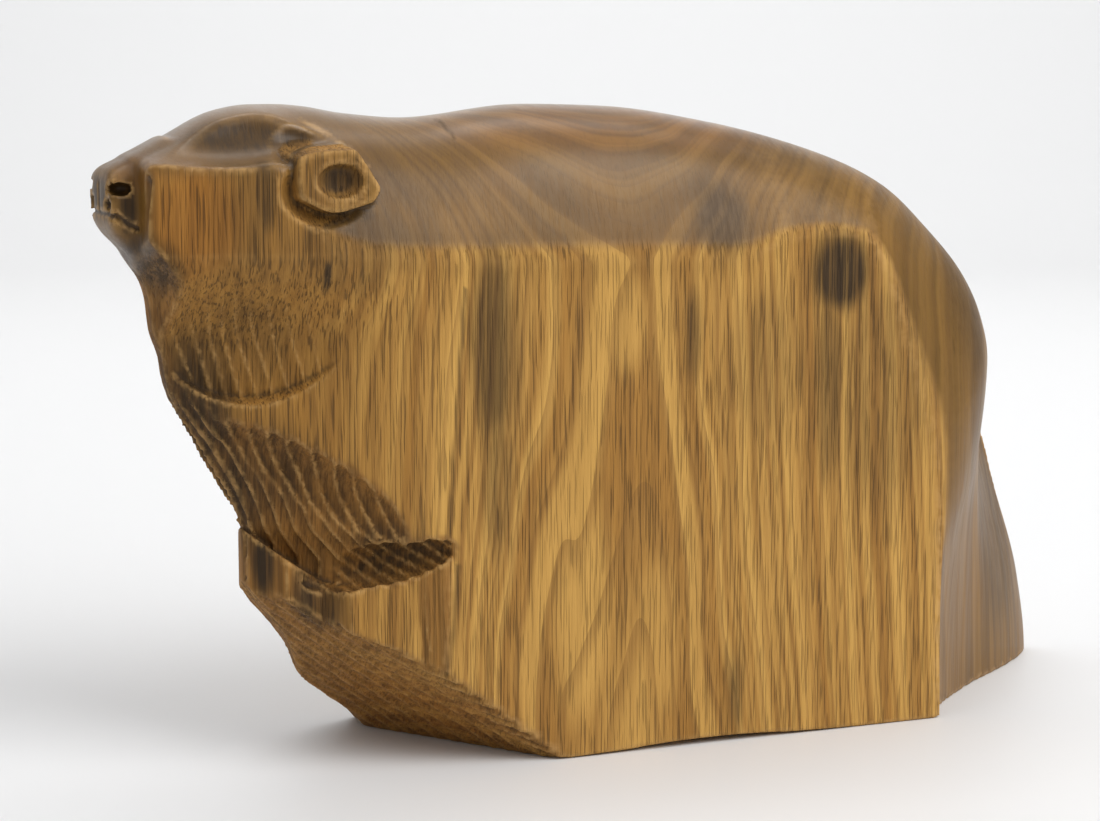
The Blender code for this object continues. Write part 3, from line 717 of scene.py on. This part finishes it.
def settled(points, field, steps, most):
    """Moves every vertex straight onto the surface: its field divided by the field's slope, step by step."""
    reach = 0.05
    start = points.copy()
    for _ in range(steps):
        x, y, z = points.T
        value = field(x, y, z)
        slope = np.stack(
            (
                field(x + reach, y, z) - field(x - reach, y, z),
                field(x, y + reach, z) - field(x, y - reach, z),
                field(x, y, z + reach) - field(x, y, z - reach),
            ),
            axis=1,
        ) / (2 * reach)
        steep = np.maximum((slope**2).sum(1), 0.05)
        points = points - slope * (value / steep)[:, None]
        points = start + np.clip(points - start, -most, most)
    return points


def mesh_object(name, points, faces):
    """A smooth-shaded mesh object from whole arrays in millimetres."""
    mesh = bpy.data.meshes.new(name)
    mesh.vertices.add(len(points))
    mesh.vertices.foreach_set("co", (points / MM).astype(np.float32).ravel())
    mesh.loops.add(faces.size)
    mesh.loops.foreach_set("vertex_index", faces.astype(np.int32).ravel())
    mesh.polygons.add(len(faces))
    mesh.polygons.foreach_set("loop_start", np.arange(0, faces.size, faces.shape[1], dtype=np.int32))
    mesh.polygons.foreach_set("use_smooth", np.ones(len(faces), bool))
    mesh.update(calc_edges=True)
    mesh.validate()
    made = bpy.data.objects.new(name, mesh)
    bpy.context.scene.collection.objects.link(made)
    return made


def patches(points, spots):
    """Soft round patches: each is as strong as it says within its half widths, and falls to 0 a little way
    outside them. The strongest counts."""
    x, y, z = points.T
    total = np.zeros(len(points))
    for _, centre, size, amount in spots:
        share = np.sqrt(sum(((axis - c) / w) ** 2 for axis, c, w in zip((x, y, z), centre, size)))
        total = np.maximum(total, amount * (1 - smooth_step(share, 0.55, 1.35)))
    return total


def strokes(points, lines):
    """Thin lines as seen from the left: each is as strong as it says on its middle, and fades out over its
    half width. The strongest counts."""
    x, y, z = points.T
    total = np.zeros(len(points))
    for _, spots, width, amount in lines:
        turns = [np.array((a, 0.0, c)) for a, c in spots]
        away = rods(x, 0 * y, z, turns, 0.0)
        total = np.maximum(total, amount * (1 - smooth_step(away, width * 0.4, width * 1.8)))
    return total * smooth_step(-y, 4, 8)


def masks(points, faces, made):
    """What each vertex belongs to, from 0 to 1: the sanded back, the carved facets, the worn edges, which
    also take painted highlight lines, and the concave places, which take painted shade. Edges and concave
    places are where the vertex stands above or below the mean of its neighbours."""
    x, y, z = points.T
    fields = {}
    bear_field(x, y, z, made, fields)
    near = {name: 1 - smooth_step(np.abs(field), 0.5, 1.6) for name, field in fields.items()}
    carved = np.maximum(near["scoops"], near["soles"] * 0.65)
    front = near["front"] * (1 - smooth_step(z, 118, 135))
    carved = np.maximum(carved, front)
    wall = np.maximum(near["side"], 1 - smooth_step(HALF - np.abs(y), 0.3, 0.9))
    head = smooth_step(z, 155, 161) * (1 - smooth_step(x, -95, -80)) * smooth_step(HALF - np.abs(y), 1, 3)
    sanded = np.maximum(near["back"] * (1 - wall * 0.85), head * (1 - near["ears"]))
    sanded = np.maximum(sanded, 1 - smooth_step(x, -143, -139))
    around = np.zeros_like(points)
    count = np.zeros(len(points))
    for a, b in ((0, 1), (1, 2), (2, 3), (3, 0)):
        for first, second in ((a, b), (b, a)):
            np.add.at(around, faces[:, first], points[faces[:, second]])
            np.add.at(count, faces[:, first], 1)
    offset = points - around / count[:, None]
    span = points[faces[:, 2]] - points[faces[:, 0]], points[faces[:, 3]] - points[faces[:, 1]]
    flat = np.cross(*span)
    normal = np.zeros_like(points)
    for corner in range(4):
        np.add.at(normal, faces[:, corner], flat)
    normal /= np.maximum(np.linalg.norm(normal, axis=1), 1e-9)[:, None]
    bend = (offset * normal).sum(1)
    paw = (1 - smooth_step(x, -99, -93)) * (1 - smooth_step(z, 60, 66)) * 0.8
    carved = np.maximum(carved, paw)
    return {
        # Dark patches and lines: the wood's own dark marks, and painted shade in hollows, slots and on faces
        # turned from the light
        "stain_and_shade": np.maximum(patches(points, STAINS_AND_SHADE), strokes(points, DARK_LINES)),
        "warm": patches(points, WARM),
        "pale": patches(points, PALE),
        "sanded": np.clip(sanded * (1 - carved), 0, 1),
        "carved": np.clip(carved, 0, 1),
        # Worn edges, and painted highlights along the brow ridge and the leg's step
        "edge": np.maximum(np.clip(bend / 0.16, 0, 1), strokes(points, PAINTED_HIGHLIGHT_LINES)),
        # Painted shade in concave places
        "crease_shade": np.clip(-bend / 0.16, 0, 1),
    }


class Wiring:
    """Adds nodes to a tree. An input is given a number, a colour or another node's output."""

    def __init__(self, tree):
        self.tree = tree

    def add(self, kind, inputs=(), out=0, **settings):
        """One node with its settings, then its inputs by number or name. Gives back one output."""
        made = self.tree.nodes.new(kind)
        for name, value in settings.items():
            setattr(made, name, value)
        pairs = inputs.items() if isinstance(inputs, dict) else enumerate(inputs)
        for socket, value in pairs:
            if isinstance(value, bpy.types.NodeSocket):
                self.tree.links.new(value, made.inputs[socket])
            elif value is not None:
                made.inputs[socket].default_value = value
        return made.outputs[out]

    def math(self, operation, a, b=0.0, clamp=False):
        """a and b put through one operation."""
        return self.add("ShaderNodeMath", (a, b), operation=operation, use_clamp=clamp)

    def vector(self, operation, a, b=(0, 0, 0), out=0):
        """Two vectors put through one operation."""
        return self.add("ShaderNodeVectorMath", (a, b), out=out, operation=operation)

    def mix(self, share, a, b, blend="MIX"):
        """Two colours mixed by a share."""
        inputs = {0: share, 6: a, 7: b}
        return self.add("ShaderNodeMix", inputs, out=2, data_type="RGBA", blend_type=blend)

    def ramp(self, value, low, high, start=0.0, end=1.0):
        """start below low, end above high, and an even S between them."""
        inputs = (value, low, high, start, end)
        return self.add("ShaderNodeMapRange", inputs, interpolation_type="SMOOTHSTEP")

    def noise(self, place, scale, detail=2.0, rough=0.5, stretch=None):
        """Soft noise at a place, with the place stretched first where a stretch is given."""
        if stretch:
            place = self.vector("MULTIPLY", place, stretch)
        inputs = {"Vector": place, "Scale": scale, "Detail": detail, "Roughness": rough}
        return self.add("ShaderNodeTexNoise", inputs)


def group_tree(name, inputs, outputs):
    """An empty node group with the given sockets, each a name and a kind."""
    tree = bpy.data.node_groups.new(name, "ShaderNodeTree")
    for label, kind, value in inputs:
        socket = tree.interface.new_socket(label, in_out="INPUT", socket_type="NodeSocket" + kind)
        if value is not None:
            socket.default_value = value
    for label, kind in outputs:
        tree.interface.new_socket(label, in_out="OUTPUT", socket_type="NodeSocket" + kind)
    source = tree.nodes.new("NodeGroupInput")
    sink = tree.nodes.new("NodeGroupOutput")
    return tree, Wiring(tree), source.outputs, sink.inputs


def growth_rings():
    """Growth rings about an upright heart: the distance from the heart, bent by slow noise, read as bands of
    differing tone and as the thin dark line at the end of each year."""
    tree, wire, given, result = group_tree(
        "growth_rings",
        (("Place", "Vector", None), ("Heart", "Vector", (0, 0, 0)), ("Year", "Float", 0.002),
         ("Wander", "Float", 0.003)),
        (("Tone", "Float"), ("Line", "Float")),
    )
    gap = wire.vector("SUBTRACT", given[0], given[1])
    away = wire.vector("LENGTH", wire.vector("MULTIPLY", gap, (1, 1, 0)), out=1)
    climb = wire.vector("DOT_PRODUCT", gap, (0, 0, 0.045), out=1)
    slow = wire.noise(given[0], 26, 2, 0.5, (1, 1, 0.3))
    bend = wire.math("MULTIPLY", wire.math("SUBTRACT", slow, 0.5), given[3])
    away = wire.math("ADD", wire.math("ADD", away, climb), bend)
    years = wire.math("DIVIDE", away, given[2])
    inputs = {"W": years, "Scale": 0.55, "Detail": 2.0, "Roughness": 0.6}
    tone = wire.add("ShaderNodeTexNoise", inputs, noise_dimensions="1D")
    part = wire.math("FRACT", years)
    line = wire.ramp(part, 0.62, 0.98)
    tree.links.new(wire.ramp(tone, 0.3, 0.7), result[0])
    tree.links.new(line, result[1])
    return tree


def upright_grain():
    """Fibres that run straight up: noise drawn out along Z, as fine streaks, dark pores and a height."""
    tree, wire, given, result = group_tree(
        "upright_grain",
        (("Place", "Vector", None), ("Width", "Float", 0.00055), ("Length", "Float", 0.022)),
        (("Streak", "Float"), ("Pores", "Float"), ("Height", "Float")),
    )
    fine = wire.math("DIVIDE", 1.0, given[1])
    squeeze = wire.math("DIVIDE", given[1], given[2])
    drawn = wire.add("ShaderNodeCombineXYZ", (1.0, 0.3, squeeze))
    spot = wire.vector("MULTIPLY", given[0], drawn)
    broad = wire.noise(spot, wire.math("MULTIPLY", fine, 0.3), 3.0, 0.6)
    thin = wire.noise(spot, fine, 2.0, 0.55)
    pores = wire.noise(spot, wire.math("MULTIPLY", fine, 1.4), 1.0, 0.5)
    streak = wire.math("ADD", wire.math("MULTIPLY", broad, 0.6), wire.math("MULTIPLY", thin, 0.4))
    tree.links.new(wire.ramp(streak, 0.37, 0.66), result[0])
    tree.links.new(wire.ramp(pores, 0.55, 0.68), result[1])
    relief = wire.math("ADD", wire.math("MULTIPLY", thin, 0.6), wire.math("MULTIPLY", broad, 0.4))
    tree.links.new(relief, result[2])
    return tree


def oiled_wood(look):
    """Oiled wood: golden and streaked on the rough walls, grey-brown and glossy where the back is sanded,
    dark where the gouge has cut across the grain, with dark patches of the wood and painted shade that
    follow the fibres, painted shade in concave places, and edges worn pale with painted highlights."""
    material = bpy.data.materials.new("oiled_wood")
    material.use_nodes = True
    tree = material.node_tree
    wire = Wiring(tree)
    shader = tree.nodes["Principled BSDF"]
    spot = wire.add("ShaderNodeTexCoord", out=3)
    mask = {
        name: wire.add("ShaderNodeAttribute", out=2, attribute_name=name)
        for name in ("sanded", "carved", "edge", "crease_shade", "stain_and_shade", "warm", "pale")
    }
    rings = tree.nodes.new("ShaderNodeGroup")
    rings.node_tree = growth_rings()
    tree.links.new(spot, rings.inputs[0])
    rings.inputs[1].default_value = (look.heart[0], look.heart[1], 0.08)
    rings.inputs[2].default_value = look.year
    rings.inputs[3].default_value = 0.009
    grain = tree.nodes.new("ShaderNodeGroup")
    grain.node_tree = upright_grain()
    tree.links.new(spot, grain.inputs[0])
    tone, line = rings.outputs
    behind_nose = wire.add("ShaderNodeSeparateXYZ", (spot,))
    above_ground = wire.add("ShaderNodeSeparateXYZ", (spot,), out=2)
    calm = wire.ramp(behind_nose, *NECK, 0.15, 1.0)
    line, tone = wire.math("MULTIPLY", line, calm), wire.math("MULTIPLY", tone, calm)
    bleached = wire.math("MULTIPLY", mask["pale"], wire.ramp(behind_nose, *NECK))
    tone = wire.math("MAXIMUM", tone, bleached)
    streak, pores, height = grain.outputs

    raw = wire.mix(tone, tuple(look.golden), tuple(look.blond))
    dark = wire.math("MULTIPLY", streak, wire.ramp(tone, 0.1, 0.9, 0.70, 0.20))
    raw = wire.mix(dark, raw, tuple(look.brown))
    raw = wire.mix(wire.math("MULTIPLY", line, 0.45), raw, tuple(look.brown))
    thin = wire.math("MULTIPLY", pores, wire.ramp(tone, 0.1, 0.9, 0.7, 0.35))
    raw = wire.mix(thin, raw, tuple(look.pore))
    cloud = wire.noise(spot, 30, 2, 0.5, (1, 1, 0.5))
    smooth = wire.mix(wire.ramp(cloud, 0.35, 0.68), tuple(look.sanded), tuple(look.sanded_warm))
    smooth = wire.mix(wire.math("MULTIPLY", line, 0.18), smooth, tuple(look.pore))
    smooth = wire.mix(wire.math("MULTIPLY", tone, 0.2), smooth, tuple(look.golden))
    smooth = wire.mix(wire.math("MULTIPLY", streak, 0.25), smooth, tuple(look.brown))
    cut = wire.mix(streak, tuple(look.cut), tuple(look.cut_dark))
    colour = wire.mix(wire.math("MULTIPLY", mask["sanded"], 0.88), raw, smooth)
    colour = wire.mix(wire.math("MULTIPLY", mask["carved"], 0.85), colour, cut)
    # The wood's own dark marks and the painted shade, broken up by the fibres
    grained = wire.math("MULTIPLY", mask["stain_and_shade"], wire.ramp(streak, 0.0, 0.8, 0.80, 1.08), clamp=True)
    colour = wire.mix(grained, colour, tuple(look.stain_and_shade))
    colour = wire.mix(wire.math("MULTIPLY", mask["warm"], 0.8), colour, tuple(look.amber), "MULTIPLY")
    # Painted shade in concave places
    crease_shade = wire.math("MULTIPLY", mask["crease_shade"], 0.75)
    colour = wire.mix(crease_shade, colour, tuple(look.stain_and_shade))
    # Worn edges turned pale, and painted highlights along the brow ridge and the edge of the leg's step
    wear_and_highlight = wire.math("MULTIPLY", mask["edge"], wire.ramp(wire.noise(spot, 300, 2), 0.35, 0.6, 0.15, 0.6))
    colour = wire.mix(wear_and_highlight, colour, tuple(look.worn))
    tree.links.new(colour, shader.inputs["Base Color"])

    shader.inputs["Specular IOR Level"].default_value = 0.20
    shader.inputs["Coat Roughness"].default_value = 0.30
    polish = wire.math("SUBTRACT", mask["sanded"], mask["stain_and_shade"], clamp=True)
    polish = wire.math("MULTIPLY", polish, wire.ramp(above_ground, *BACK_TOP, 0.06, 0.85))
    tree.links.new(polish, shader.inputs["Coat Weight"])
    rough = wire.ramp(mask["sanded"], 0.0, 1.0, 0.70, look.back_gloss)
    rough = wire.math("ADD", rough, wire.math("MULTIPLY", wire.math("SUBTRACT", streak, 0.5), 0.12))
    tree.links.new(rough, shader.inputs["Roughness"])
    relief = wire.math("SUBTRACT", height, wire.math("MULTIPLY", pores, 0.35))
    strength = wire.ramp(mask["sanded"], 0.0, 1.0, 1.0, 0.08)
    relief = wire.math("MULTIPLY", relief, strength)
    bump = wire.add("ShaderNodeBump", {"Strength": 0.9, "Distance": look.fibre_depth, "Height": relief})
    tree.links.new(bump, shader.inputs["Normal"])
    return material


class BearCarving(bpy.types.PropertyGroup):
    """The sizes of the tool marks and of the mesh."""

    gouge_pitch: bpy.props.FloatProperty(
        name="Gouge width", description="Width of one gouge cut", default=0.003, unit="LENGTH"
    )
    gouge_depth: bpy.props.FloatProperty(
        name="Gouge depth", description="Depth of one gouge cut", default=0.0009, unit="LENGTH"
    )
    wall_ripple: bpy.props.FloatProperty(
        name="Wall ripple", description="Depth of the upright ripples in the walls", default=0.00012,
        unit="LENGTH",
    )
    edge_round: bpy.props.FloatProperty(
        name="Edge round", description="Width over which edges are worn round", default=0.0008,
        unit="LENGTH",
    )
    fine_step: bpy.props.FloatProperty(
        name="Fine step", description="Spacing of the mesh at the head", default=0.0009, unit="LENGTH"
    )


def colour_property(name, words, value):
    """One colour that a user may change."""
    return bpy.props.FloatVectorProperty(
        name=name, description=words, default=(*value, 1), size=4, subtype="COLOR", min=0, max=1
    )


class BearWood(bpy.types.PropertyGroup):
    """The colours and the gloss of the wood."""

    golden: colour_property("Golden", "Rough wall between the pale bands", (0.38, 0.185, 0.038))
    blond: colour_property("Blond", "Pale bands of the rough wall", (0.60, 0.34, 0.085))
    brown: colour_property("Brown", "Streaks along the fibres", (0.22, 0.105, 0.026))
    pore: colour_property("Pores", "Short dark pores", (0.085, 0.043, 0.014))
    sanded: colour_property("Sanded", "Sanded back", (0.084, 0.044, 0.008))
    sanded_warm: colour_property("Sanded, warm", "Warmer clouds in the sanded back", (0.140, 0.068, 0.011))
    cut: colour_property("Cut", "Facets left by the gouge", (0.29, 0.130, 0.028))
    cut_dark: colour_property("Cut, dark", "Dark fibres in the facets", (0.120, 0.054, 0.014))
    # Colour of the wood's own dark marks, and of the painted shade in hollows and concave places
    stain_and_shade: colour_property("Stain", "Stains in the wood", (0.043, 0.025, 0.011))
    amber: colour_property("Amber", "Tint of the warm patches", (1.0, 0.80, 0.55))
    # Colour of the worn edges, and of the painted highlight lines
    worn: colour_property("Worn", "Edges worn pale", (0.58, 0.34, 0.12))
    back_gloss: bpy.props.FloatProperty(
        name="Back roughness", description="Roughness of the sanded back", default=0.40, min=0, max=1
    )
    fibre_depth: bpy.props.FloatProperty(
        name="Fibre depth", description="Depth of the fibres in the walls", default=0.0006, unit="LENGTH"
    )
    year: bpy.props.FloatProperty(
        name="Year", description="Width of one growth ring", default=0.0021, unit="LENGTH"
    )
    heart: bpy.props.FloatVectorProperty(
        name="Heart", description="Where the heart of the tree stood", default=(-0.018, 0.030), size=2,
        subtype="TRANSLATION", unit="LENGTH",
    )


class OBJECT_OT_carved_bear(bpy.types.Operator):
    """Carve the bear from its block"""

    bl_idname = "object.carved_bear"
    bl_label = "Carved bear"
    bl_options = {"REGISTER", "UNDO"}

    def execute(self, context):
        made = context.scene.bear_carving
        step = made.fine_step * MM

        def field(x, y, z):
            return bear_field(x, y, z, made)

        lines = (
            graded(((LOW[0] - 1, step), (-58, step * 2.9), (96, step * 1.5), (HIGH[0] + 1, 1))),
            graded(((LOW[1] - 1, step * 0.9), (-6, step * 1.5), (HIGH[1] + 1, 1))),
            graded(((-1, step * 1.1), (HIGH[2] + 1, 1))),
        )
        points, faces = netted(field, lines)
        reach = np.where(points[:, :1] < -58, step, step * 2)
        points = settled(points, field, 4, reach)
        points = np.clip(points, LOW, HIGH)
        bear = mesh_object("carved_bear", points, faces)
        for name, values in masks(points, faces, made).items():
            attribute = bear.data.attributes.new(name, "FLOAT", "POINT")
            attribute.data.foreach_set("value", values.astype(np.float32))
        bear.data.materials.append(oiled_wood(context.scene.bear_wood))
        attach(bear, "root")
        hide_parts("polar_bear")
        return {"FINISHED"}


class OBJECT_OT_bear_stage(bpy.types.Operator):
    """Set out the pale table that bends up behind the bear, the lights and the camera"""

    bl_idname = "object.bear_stage"
    bl_label = "Stage"
    bl_options = {"REGISTER", "UNDO"}

    def execute(self, context):
        turn = np.linspace(0, np.pi / 2, 33)
        front, start, bend, top, wide = 4000, 1500, 900, 4000, 5000
        run = np.concatenate(((-front,), start + bend * np.sin(turn), (start + bend,)))
        rise = np.concatenate(((0,), bend - bend * np.cos(turn), (top,)))
        across = np.linspace(-wide, wide, 3)
        away = (math.sin(CAMERA_YAW), math.cos(CAMERA_YAW))
        points = np.stack(
            np.broadcast_arrays(
                run[:, None] * away[0] + across * away[1],
                run[:, None] * away[1] - across * away[0],
                rise[:, None],
            ),
            axis=-1,
        ).reshape(-1, 3)
        corner = (np.arange(len(run) - 1)[:, None] * 3 + np.arange(2)).ravel()
        quads = np.stack((corner, corner + 1, corner + 4, corner + 3), axis=1)
        floor = mesh_object("floor", points, quads[:, ::-1])
        material = bpy.data.materials.new("pale_table")
        material.use_nodes = True
        shader = material.node_tree.nodes["Principled BSDF"]
        shader.inputs["Base Color"].default_value = (0.8, 0.8, 0.8, 1)
        floor.data.materials.append(material)
        camera = bpy.data.objects.new("camera", bpy.data.cameras.new("camera"))
        context.scene.collection.objects.link(camera)
        camera.data.lens = 85
        camera.data.sensor_width = 36
        camera.location = CAMERA_PLACE
        camera.rotation_euler = (CAMERA_TILT, 0, -CAMERA_YAW)
        context.scene.camera = camera
        world = bpy.data.worlds.new("room")
        context.scene.world = world
        world.use_nodes = True
        world.node_tree.nodes["Background"].inputs[0].default_value = (0.97, 0.98, 1, 1)
        world.node_tree.nodes["Background"].inputs[1].default_value = 0.36
        for name, spot, target, size, power in LAMPS:
            lamp = bpy.data.objects.new(name, bpy.data.lights.new(name, "AREA"))
            context.scene.collection.objects.link(lamp)
            lamp.data.size = size
            lamp.data.energy = power
            lamp.location = spot
            facing = Vector(target) - Vector(spot)
            lamp.rotation_euler = facing.to_track_quat("-Z", "Y").to_euler()
        context.scene.view_settings.view_transform = "Standard"
        return {"FINISHED"}


class VIEW3D_PT_bear(bpy.types.Panel):
    """Shows the sizes of the tool marks and the mesh, the colours of the wood, and the buttons for the bear
    and the stage
    """

    bl_label = "Carved Polar Bear"
    bl_space_type = "VIEW_3D"
    bl_region_type = "UI"
    bl_category = "Carving"

    def draw(self, context):
        for settings in (context.scene.bear_carving, context.scene.bear_wood):
            for name in type(settings).__annotations__:
                self.layout.prop(settings, name)
        for operator in OPERATORS:
            self.layout.operator(operator.bl_idname)


OPERATORS = (OBJECT_OT_carved_bear, OBJECT_OT_bear_stage)
CLASSES = (BearCarving, BearWood, *OPERATORS, VIEW3D_PT_bear)


def register():
    """Makes the settings, the operators and the panel known to Blender."""
    for made in CLASSES:
        bpy.utils.register_class(made)
    bpy.types.Scene.bear_carving = bpy.props.PointerProperty(type=BearCarving)
    bpy.types.Scene.bear_wood = bpy.props.PointerProperty(type=BearWood)


def unregister():
    """Takes them out again."""
    del bpy.types.Scene.bear_carving
    del bpy.types.Scene.bear_wood
    for made in reversed(CLASSES):
        bpy.utils.unregister_class(made)


def main():
    """Makes every piece in order."""
    register()
    bpy.ops.object.carved_bear()
    bpy.ops.object.bear_stage()


if __name__ == "__main__":
    main()
